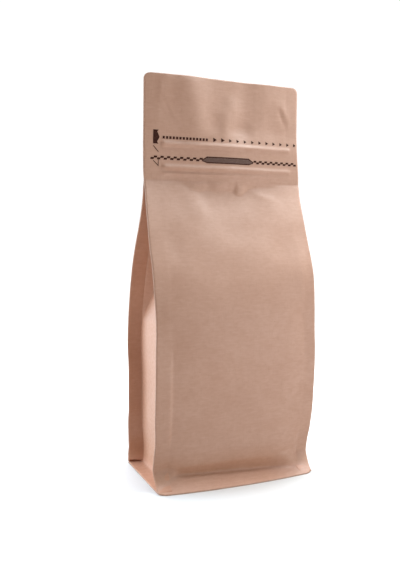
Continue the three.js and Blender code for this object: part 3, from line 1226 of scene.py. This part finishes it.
@dataclass
class SideWall:
    """One side sheet: the inner layer of two fins, the wall, its fold and its flange."""

    form: PouchForm
    side: Side
    crumple: Crumple
    thickness: float = 0.35
    fin_columns: int = 12
    corner_columns: int = 4
    fold_columns: int = 16
    middle_columns: int = 16
    flange_rows: int = 8
    flange_gap: float = 0.05
    flange_turn: int = 4
    flange_crease: float = 5.0
    flange_crease_half: float = 1.0
    flange_crease_rise: float = 0.6
    corner_share: float = 0.6
    crumple_from: float = 0.5
    crumple_full: float = 0.6
    crumple_up: Span = (6.0, 40.0)
    bands: tuple[tuple[float, float, float], ...] = (
        (1.9, 12, 0.9), (12, 40, 1.7), (40, 110, 2.7), (110, 250, 2.0), (250, 254, 0.8),
    )

    def half_columns(self) -> int:
        """Returns the number of columns from a fin's edge to the wall's middle."""
        return self.fin_columns + self.corner_columns + self.fold_columns + self.middle_columns

    def wall(self, step: Array, z: Array, back: Array) -> tuple[Array, Array]:
        """Works out the recess from a fin's edge, step 0, to the wall's middle.

        Args:
            step: columns in from the fin's edge.
            z: heights.
            back: whether the fin is a back one.

        Returns:
            The distance from the pouch's middle along X, and along Y.
        """
        form = self.form
        gap = form.fin_thickness / 2
        root = form.fin_root(z, back) - gap
        tip = form.fin_tip(z, back, self.side is Side.LEFT) - gap
        run = np.clip(form.fold_rate * (z - form.fold_starts), 0.0, form.half_wall)
        lean = np.where(run > 0, 1 - (form.half_wall - root) / np.maximum(run, TINY), 1.0)
        depth = run * np.sqrt(1 - np.clip(lean, 0.0, 1.0) ** 2)
        reach = np.maximum(run, form.least_fold)
        along = np.sqrt(np.maximum(reach**2 - depth**2, 0.0))
        fold = np.maximum(root - along, form.least_gap)
        wall = form.wall_from_middle - form.wall_inset * (1 - ease(z, *form.wall_inset_up))
        wall = wall + form.wall_flare * (1 - ease(z, *form.wall_flare_up))
        corner = blend(form.wall_corner, form.fold_corner, ease(z, *form.fold_corner_up))
        corner = np.minimum(corner, (root - fold) * self.corner_share)
        at_fin = np.clip(step / self.fin_columns, 0.0, 1.0)
        at_corner = np.clip((step - self.fin_columns) / self.corner_columns, 0.0, 1.0)
        past = step - self.fin_columns - self.corner_columns
        at_fold = np.clip(past / self.fold_columns, 0.0, 1.0)
        at_middle = np.clip((past - self.fold_columns) / self.middle_columns, 0.0, 1.0)
        turn = at_corner * math.pi / 2
        x = blend(form.outline(z), wall + corner, at_fin) - corner * np.sin(turn)
        y = blend(tip, root, at_fin) - corner * (1 - np.cos(turn))
        y = y - (root - corner - fold) * at_fold
        return x - depth * at_fold, y * (1 - at_middle)

    def flange_edge(self, step: Array) -> tuple[Array, Array]:
        """Works out the flange's outer edge, on the base's outline.

        Args:
            step: columns in from the fin's edge.

        Returns:
            The distance from the pouch's middle along X, and along Y.
        """
        form = self.form
        straight = form.base_depth / 2 - form.base_corner
        at_corner = np.clip(step / (self.fin_columns + self.corner_columns), 0.0, 1.0)
        past = step - self.fin_columns - self.corner_columns
        rest = past / (self.fold_columns + self.middle_columns)
        turn = math.pi / 4 * (1 - at_corner)
        x = form.base_width / 2 - form.base_corner * (1 - np.cos(turn))
        y = straight + form.base_corner * np.sin(turn)
        return x, np.where(rest > 0, straight * (1 - np.clip(rest, 0.0, 1.0)), y)

    def place(self, across: Array, up: Array) -> Array:
        """Places the grid's points on the side sheet.

        Args:
            across: shares of the way from the front fin's edge to the back fin's.
            up: shares of the way from the flange's edge to the top of the fold.

        Returns:
            The points in millimetres.
        """
        form, half = self.form, self.half_columns()
        heights = rows_between(self.bands)
        count = self.flange_rows + len(heights) - 1
        row = np.rint(up * count).astype(int)
        column = np.rint(across * 2 * half) - half
        step, end = half - np.abs(column), np.where(column < 0, -1.0, 1.0)
        z = heights[np.clip(row - self.flange_rows, 0, None)]
        x, y = self.wall(step, z, column > 0)
        edge_x, edge_y = self.flange_edge(step)
        in_wall = np.clip(row / self.flange_rows, 0.0, 1.0)
        x, y = blend(edge_x, x, in_wall), blend(edge_y, y, in_wall)
        in_flange = row < self.flange_rows
        rise = (heights[0] - form.seal_thickness) * in_wall**self.flange_turn
        z = np.where(in_flange, form.seal_thickness + self.flange_gap + rise, z)
        y = end * y
        from_crease = (y - self.flange_crease) / self.flange_crease_half
        z = z + self.flange_crease_rise * np.exp(-(from_crease**2)) * in_flange * (row > 0)
        full = half * self.crumple_full
        inside = ease(step, self.fin_columns * self.crumple_from, full)
        x = x + self.crumple.at(x, y, z) * inside * ease(z, *self.crumple_up)
        x = self.side.value * x
        y = y - (form.curve("sways")(z) + form.header_shift(x, z)) * (row > 0)
        return np.stack([x + form.curve("drift")(z), y, z], axis=1)

    def build(self, finishes: Finishes) -> bpy.types.Object:
        """Makes and dresses the side wall.

        Args:
            finishes: the pouch's materials.

        Returns:
            The side wall.
        """
        name = self.side.name.lower() + "_side_wall"
        rows = self.flange_rows + len(rows_between(self.bands)) - 1
        sheet = wrapped_sheet(name, 2 * self.half_columns(), rows, self.place)
        if self.side is Side.LEFT:
            sheet.data.flip_normals()
        thicken(sheet, self.thickness)
        dress(sheet, finishes.wall_paper, finishes.edge)
        return sheet


@dataclass
class BaseSeal:
    """The base sheet with its sealed border, flat on the floor."""

    form: PouchForm
    corner_steps: int = 12
    edge_round: float = 0.3
    edge_steps: int = 2
    bow_cuts: int = 19
    bow_share: float = 0.9
    flat_from: float = 0.9

    def rounded(self, plate: bmesh.types.BMesh, upright: bool, radius: float, steps: int) -> None:
        """Rounds the plate's upright edges, or all its others.

        Args:
            plate: the bmesh.
            upright: whether the upright edges are rounded.
            radius: millimetres.
            steps: faces in the rounding.
        """
        tall = self.form.seal_thickness * MM / 2
        edges = [
            edge
            for edge in plate.edges
            if (abs(edge.verts[0].co.z - edge.verts[1].co.z) > tall) == upright
        ]
        bmesh.ops.bevel(
            plate, geom=edges, offset=radius * MM, offset_type="OFFSET",
            segments=steps, profile=0.5, affect="EDGES", material=-1,
        )

    def build(self, finishes: Finishes) -> bpy.types.Object:
        """Makes and dresses the base.

        Args:
            finishes: the pouch's materials.

        Returns:
            The base.
        """
        form = self.form
        plate = bmesh.new()
        bmesh.ops.create_cube(plate, size=1.0)
        size = Vector((form.base_width, form.base_depth, form.seal_thickness)) * MM
        bmesh.ops.scale(plate, vec=size, verts=plate.verts)
        aside = float(form.curve("drift")(0.0)) * MM
        bmesh.ops.translate(plate, vec=(aside, 0.0, size.z / 2), verts=plate.verts)
        self.rounded(plate, True, form.base_corner, self.corner_steps)
        self.rounded(plate, False, self.edge_round, self.edge_steps)
        straight = form.base_width / 2 - form.base_corner
        for cut in np.linspace(-self.bow_share, self.bow_share, self.bow_cuts) * straight:
            parts = [*plate.verts, *plate.edges, *plate.faces]
            bmesh.ops.bisect_plane(
                plate, geom=parts, dist=1e-7, plane_co=(cut * MM + aside, 0.0, 0.0),
                plane_no=(1.0, 0.0, 0.0),
            )
        for vertex in plate.verts:
            bowed = float(form.base_reach((vertex.co.x - aside) / MM))
            vertex.co.y *= bowed / (form.base_depth / 2)
        bmesh.ops.recalc_face_normals(plate, faces=plate.faces)
        for face in plate.faces:
            face.material_index = 0 if abs(face.normal.z) > self.flat_from else 1
        base = finished("base_seal", plate, smooth=False)
        dress(base, finishes.paper, finishes.edge)
        return base


@dataclass
class HeaderLiner:
    """The film between the header's panels, seen at the top edge."""

    form: PouchForm
    thickness: float = 0.5
    inset: float = 0.3
    bottom: float = 292.0
    columns: int = 60
    rows: int = 24

    def place(self, across: Array, up: Array) -> Array:
        """Places the grid's points between the panels.

        Args:
            across: shares of the way from left to right.
            up: shares of the way from above the closing band to the top edge.

        Returns:
            The points in millimetres.
        """
        form = self.form
        z = blend(self.bottom, form.height - self.inset, up)
        x = (2 * across - 1) * (form.outline(z) - self.inset)
        return np.stack([x, -form.header_shift(x, z) - self.thickness / 2, z], axis=1)

    def build(self, finishes: Finishes) -> bpy.types.Object:
        """Makes and dresses the liner.

        Args:
            finishes: the pouch's materials.

        Returns:
            The liner.
        """
        sheet = wrapped_sheet("header_liner", self.columns, self.rows, self.place)
        thicken(sheet, self.thickness, rim=0)
        dress(sheet, finishes.film)
        return sheet


@dataclass
class PrintedMarks:
    """The printed marks on the header: arrow, dashes, triangles, chequers and bar.

    A mark is drawn in a bmesh whose X and Y are places across and up the panel.
    """

    panel: Panel
    stand_off: float = 0.06
    thickness: float = 0.07
    arrow_across: tuple[float, float, float] = (-65.9, -62.4, -60.2)
    arrow_up: tuple[float, float, float] = (287.6, 293.3, 299.1)
    arrow_notch: float = 1.6
    arrow_barb: float = 1.2
    dash_row: Span = (-57.5, -18.2)
    dash_pitch: float = 3.0
    dash_length: float = 1.9
    dash_height: float = 293.2
    dash_half: float = 1.1
    triangle_start: float = -10.4
    triangle_pitch: float = 7.42
    triangle_sizes: tuple[float, ...] = (2.2,) * 2 + (1.75,) * 10
    triangle_height: float = 293.5
    chequer_heights: Span = (275.4, 276.75)
    left_chequers: Span = (-66.8, 2.94)
    right_chequers: Span = (29.4, 2.84)
    chequer_count: int = 16
    chequer_size: Span = (2.9, 1.7)
    chequer_lean: float = 0.2
    cut_left: float = -66.0
    cut_lines: tuple[tuple[float, float, float], ...] = ((273.4, 269.0, 4.6), (285.8, 280.7, 4.5))
    cut_width: float = 0.5
    cut_slope: float = 0.3
    stop_line: tuple[float, float, float] = (-61.6, 268.9, 274.6)
    bar_row: Span = (-21.8, 27.6)
    bar_heights: Span = (273.3, 279.0)
    bar_point: float = 275.5
    bar_taper: float = 4.6
    bar_rim: float = 1.1
    point_share: float = 1 / 9
    rim_up: float = 0.8
    rim_end: float = 0.4

    def patch(
        self, marks: bmesh.types.BMesh, corners: Sequence[Span], cuts: tuple[int, int] = (1, 1)
    ) -> None:
        """Adds a four-cornered mark.

        Args:
            marks: the bmesh.
            corners: lower left, lower right, upper right and upper left.
            cuts: faces across and up the mark.
        """
        made = bmesh.ops.create_grid(marks, x_segments=cuts[0], y_segments=cuts[1], size=1.0)
        low_left, low_right, high_right, high_left = (Vector(c) for c in corners)
        for vertex in made["verts"]:
            across, up = (vertex.co.x + 1) / 2, (vertex.co.y + 1) / 2
            low = low_left.lerp(low_right, across)
            high = high_left.lerp(high_right, across)
            vertex.co = low.lerp(high, up).to_3d()

    def block(self, marks: bmesh.types.BMesh, across: Span, up: Span, lean: float = 0.0) -> None:
        """Adds a four-cornered mark with level edges.

        Args:
            marks: the bmesh.
            across: its left and right.
            up: its bottom and top.
            lean: how far its top is moved right, and its bottom left.
        """
        (left, right), (low, high) = across, up
        bottom = [(left - lean, low), (right - lean, low)]
        self.patch(marks, [*bottom, (right + lean, high), (left + lean, high)])

    def arrow(self, marks: bmesh.types.BMesh) -> None:
        """Adds the banner with notched ends and a tip to the right.

        Args:
            marks: the bmesh.
        """
        (left, right, tip), (low, middle, high) = self.arrow_across, self.arrow_up
        under, over = low + self.arrow_notch, high - self.arrow_notch
        barb, cuts = right + self.arrow_barb, (2, 6)
        self.patch(marks, [(left, low), (right, under), (right, over), (left, high)], cuts)
        self.patch(marks, [(right, under), (tip, middle), (tip, middle), (right, over)], cuts)
        self.patch(marks, [(left, high), (right, over), (barb, high), (right, high)])
        self.patch(marks, [(left, low), (right, low), (barb, low), (right, under)])

    def dashes(self, marks: bmesh.types.BMesh) -> None:
        """Adds a plain dashed line.

        Args:
            marks: the bmesh.
        """
        up = (self.dash_height - self.dash_half, self.dash_height + self.dash_half)
        for left in np.arange(*self.dash_row, self.dash_pitch).tolist():
            self.block(marks, (left, left + self.dash_length), up)

    def triangles(self, marks: bmesh.types.BMesh) -> None:
        """Adds the row of small triangles that point right, the first two of them larger.

        Args:
            marks: the bmesh.
        """
        for i, size in enumerate(self.triangle_sizes):
            made = bmesh.ops.create_circle(marks, cap_ends=True, segments=3, radius=size)
            bmesh.ops.rotate(
                marks, cent=(0.0, 0.0, 0.0), matrix=Matrix.Rotation(-math.pi / 2, 3, "Z"),
                verts=made["verts"],
            )
            place = (self.triangle_start + i * self.triangle_pitch, self.triangle_height, 0.0)
            bmesh.ops.translate(marks, vec=place, verts=made["verts"])

    def chequers(self, marks: bmesh.types.BMesh) -> None:
        """Adds two staggered rows of slanted chequers, broken by the bar.

        Args:
            marks: the bmesh.
        """
        half_width, half_height = self.chequer_size[0] / 2, self.chequer_size[1] / 2
        for start, pitch, first in ((*self.left_chequers, 0), (*self.right_chequers, 1)):
            for i in range(self.chequer_count):
                x, z = start + i * pitch, self.chequer_heights[(i + first) % 2]
                across, up = (x - half_width, x + half_width), (z - half_height, z + half_height)
                self.block(marks, across, up, self.chequer_lean)

    def cut_marks(self, marks: bmesh.types.BMesh) -> None:
        """Adds the slanted lines that mark where the header tears off.

        Args:
            marks: the bmesh.
        """
        x, wide, slope = self.cut_left, self.cut_width, self.cut_slope
        for start, end, run in self.cut_lines:
            far = x + run
            top = [(far + wide, end + slope), (x + wide, start + slope)]
            self.patch(marks, [(x, start), (far, end), *top], (3, 1))
        x, low, high = self.stop_line
        self.patch(marks, [(x, low), (x + wide, low), (x + wide, high), (x, high)], (1, 3))

    def bar(self, marks: bmesh.types.BMesh, margin: float) -> None:
        """Adds the dark bar with pointed ends.

        Args:
            marks: the bmesh.
            margin: millimetres by which it is smaller all round than its outline.
        """
        left, right = self.bar_row[0] + margin, self.bar_row[1] - margin
        low = self.bar_heights[0] + margin * self.rim_up
        high = self.bar_heights[1] - margin * self.rim_up
        taper = self.bar_taper - margin * self.rim_end
        spread = (high - low) * self.point_share
        foot, head = self.bar_point - spread, self.bar_point + spread
        near, far = left + taper, right - taper
        self.patch(marks, [(near, low), (far, low), (far, high), (near, high)], (24, 3))
        self.patch(marks, [(left, foot), (near, low), (near, high), (left, head)], (2, 3))
        self.patch(marks, [(far, low), (right, foot), (right, head), (far, high)], (2, 3))

    def laid(self, name: str, marks: bmesh.types.BMesh, lift: float) -> bpy.types.Object:
        """Lays marks on the front panel.

        Args:
            name: the piece's name.
            marks: the bmesh, whose X and Y are places across and up the panel.
            lift: millimetres between the paper and the marks' outer face.

        Returns:
            The new piece.
        """
        bmesh.ops.remove_doubles(marks, verts=marks.verts, dist=MM)
        x = np.array([vertex.co.x for vertex in marks.verts])
        z = np.array([vertex.co.y for vertex in marks.verts])
        y = self.panel.outer(x - self.panel.form.curve("drift")(z), z) - lift
        for vertex, point in zip(marks.verts, np.stack([x, y, z], axis=1).tolist()):
            vertex.co = Vector(point) * MM
        piece = finished(name, marks, smooth=False)
        thicken(piece, self.thickness, rim=0)
        return piece

    def build(self, finishes: Finishes) -> list[bpy.types.Object]:
        """Makes and dresses the printed marks.

        Args:
            finishes: the pouch's materials.

        Returns:
            The dark marks and the bar's fill.
        """
        dark = bmesh.new()
        for add in (self.arrow, self.dashes, self.triangles, self.chequers, self.cut_marks):
            add(dark)
        self.bar(dark, 0.0)
        marks = self.laid("print_marks", dark, self.stand_off + self.thickness)
        dress(marks, finishes.ink)
        fill = bmesh.new()
        self.bar(fill, self.bar_rim)
        inner = self.laid("print_bar", fill, self.stand_off + 2 * self.thickness)
        dress(inner, finishes.bar_ink)
        return [marks, inner]


# ---------------------------------------------------------------- studio


@dataclass(frozen=True)
class Softbox:
    """A soft studio light, by its direction seen from a height on the pouch's axis.

    The azimuth runs from straight in front of the pouch towards its right side. The
    strength is the light that falls on a face turned towards the box. A distance of
    nothing puts the box so far away that its light is even over the whole studio.
    """

    name: str
    azimuth: float
    elevation: float
    strength: float
    distance: float = 0.0
    height: float = 0.17
    width: float = 0.3
    angle: float = 30.0
    tint: Colour = (1.0, 1.0, 1.0)

    def build(self) -> None:
        """Hangs the light."""
        around, up = math.radians(self.azimuth), math.radians(self.elevation)
        towards = Vector(
            (math.sin(around) * math.cos(up), -math.cos(around) * math.cos(up), math.sin(up))
        )
        data = bpy.data.lights.new(self.name, "AREA" if self.distance else "SUN")
        if self.distance:
            data.shape, data.size = "SQUARE", self.width
            data.energy = self.strength * (math.pi * self.distance) ** 2
        else:
            data.energy, data.angle = self.strength * math.pi, math.radians(self.angle)
        data.color = self.tint
        lamp = bpy.data.objects.new(self.name, data)
        lamp.location = Vector((0.0, 0.0, self.height)) + towards * self.distance
        lamp.visible_camera = False
        lamp.rotation_euler = (-towards).to_track_quat("-Z", "Y").to_euler()
        bpy.context.scene.collection.objects.link(lamp)


@dataclass
class Studio:
    """The floor, the lights and the camera of the photograph.

    The lights' strengths and tints and the floor's glow were fitted to the photograph by a
    separate program. The floor's glow and the two boxes at the left rear were then
    changed, and the rear window was given from the start, not fitted.
    """

    eye: tuple[float, float, float] = (-0.2567, -0.5414, 0.2202)
    yaw: float = 0.4104
    down: float = 0.0893
    roll: float = 0.0122
    focal: float = 673.2
    picture_height: float = 570.0
    sensor: float = 36.0
    nearest: float = 0.05
    floor_half: float = 60.0
    floor_glow: float = 0.88
    floor_tint: Colour = (1.06, 0.96, 0.88)
    room_glow: float = 0.0
    backdrop: float = 1.05
    horizon: Span = (-0.1, 0.1)
    boxes: tuple[Softbox, ...] = (
        Softbox("right_box", 90.0, 45.0, 2.16, 0.28, 0.28, tint=(0.94, 1.01, 1.05)),
        Softbox("right_top_box", 90.0, 60.0, 0.65, 0.70, 0.17, tint=(0.94, 1.02, 1.04)),
        Softbox("right_high_box", 90.0, 65.0, 0.31, 0.42, 0.30, tint=(0.90, 1.03, 1.07)),
        Softbox("right_rear_box", 120.0, 35.0, 0.36, 0.42, 0.30),
        Softbox("front_low_box", 34.0, 0.0, 0.39, 0.42, 0.10, tint=(1.08, 0.98, 0.94)),
        Softbox("left_rear_box", -120.0, 0.0, 1.05, 0.42, 0.30, tint=(0.90, 1.13, 1.34)),
        Softbox("left_rear_low_box", -120.0, 0.0, 0.32, 0.42, 0.10, tint=(0.78, 1.10, 1.34)),
        Softbox("left_window", -90.0, 17.0, 0.36, tint=(1.12, 0.97, 0.91)),
        Softbox("front_window", 30.0, 35.0, 0.13),
        Softbox("ceiling", 180.0, 80.0, 0.76),
        Softbox("rear_window", 180.0, 50.0, 0.45),
    )

    def camera(self) -> None:
        """Places the camera where the photograph was taken from."""
        yaw, down = self.yaw, self.down
        ahead = Vector(
            (math.sin(yaw) * math.cos(down), math.cos(yaw) * math.cos(down), -math.sin(down))
        )
        level = Vector((math.cos(yaw), -math.sin(yaw), 0.0))
        above = level.cross(ahead)
        right = math.cos(self.roll) * level + math.sin(self.roll) * above
        up = math.cos(self.roll) * above - math.sin(self.roll) * level
        turn = Matrix((right, up, -ahead)).transposed()
        data = bpy.data.cameras.new("camera")
        data.sensor_width = self.sensor
        data.lens = self.focal / self.picture_height * self.sensor
        data.clip_start, data.clip_end = self.nearest, self.floor_half
        camera = bpy.data.objects.new("camera", data)
        camera.matrix_world = Matrix.Translation(self.eye) @ turn.to_4x4()
        bpy.context.scene.collection.objects.link(camera)
        bpy.context.scene.camera = camera

    def floor(self) -> None:
        """Lays the plain pale floor, with its painted shade near the pouch."""
        ground = bmesh.new()
        bmesh.ops.create_grid(ground, x_segments=8, y_segments=8, size=self.floor_half)
        floor = finished("floor", ground)
        floor.data.materials.append(StudioWhite().make())
        floor.visible_diffuse = False
        floor.visible_shadow = False

    def surroundings(self) -> None:
        """Puts a white backdrop behind the pouch and soft light from the floor below it."""
        world = bpy.data.worlds.new("studio")
        bpy.context.scene.world = world
        world.use_nodes = True
        nodes, links = world.node_tree.nodes, world.node_tree.links
        nodes.clear()
        output = nodes.new("ShaderNodeOutputWorld")
        seen, fill = nodes.new("ShaderNodeBackground"), nodes.new("ShaderNodeBackground")
        seen.inputs["Color"].default_value = (1.0, 1.0, 1.0, 1.0)
        seen.inputs["Strength"].default_value = self.backdrop
        where, split = nodes.new("ShaderNodeTexCoord"), nodes.new("ShaderNodeSeparateXYZ")
        links.new(where.outputs["Generated"], split.inputs[0])
        fill.inputs["Color"].default_value = (*self.floor_tint, 1.0)
        below = nodes.new("ShaderNodeMapRange")
        links.new(split.outputs["Z"], below.inputs["Value"])
        for name, end in zip(("From Min", "From Max"), self.horizon):
            below.inputs[name].default_value = end
        below.inputs["To Min"].default_value = self.floor_glow
        below.inputs["To Max"].default_value = self.room_glow
        links.new(below.outputs[0], fill.inputs["Strength"])
        ray, mix = nodes.new("ShaderNodeLightPath"), nodes.new("ShaderNodeMixShader")
        links.new(ray.outputs["Is Camera Ray"], mix.inputs[0])
        links.new(fill.outputs[0], mix.inputs[1])
        links.new(seen.outputs[0], mix.inputs[2])
        links.new(mix.outputs[0], output.inputs["Surface"])

    def build(self) -> None:
        """Sets up the floor, the lights and the camera."""
        self.floor()
        self.surroundings()
        for box in self.boxes:
            box.build()
        self.camera()
        bpy.context.scene.view_settings.view_transform = "Standard"


# ---------------------------------------------------------------- main


def main() -> None:
    """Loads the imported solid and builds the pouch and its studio."""
    logging.basicConfig(level=logging.INFO, format="%(name)s: %(message)s")
    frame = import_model()
    LOG.info("frame has the nodes %s", ", ".join(sorted(frame["nodes"])))
    form, finishes = PouchForm(), Finishes.mixed()
    front = Panel(form, Face.FRONT, Crumple(seed=3.7, wave=26.0, rise=0.22))
    back = Panel(form, Face.BACK, Crumple(seed=8.1, wave=26.0, rise=0.22), middle_columns=72)
    crumples = {side: Crumple(seed=5.0 + side.value, wave=24.0, rise=0.25) for side in Side}
    walls = [SideWall(form, side, crumple) for side, crumple in crumples.items()]
    pieces = [front.build(finishes), back.build(finishes)]
    pieces += [wall.build(finishes) for wall in walls]
    pieces += [BaseSeal(form).build(finishes), HeaderLiner(form).build(finishes)]
    pieces += PrintedMarks(front).build(finishes)
    for piece in pieces:
        LOG.info("%s has %d faces before its thickness", piece.name, len(piece.data.polygons))
    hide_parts("pouch")
    Studio().build()


if __name__ == "__main__":
    main()
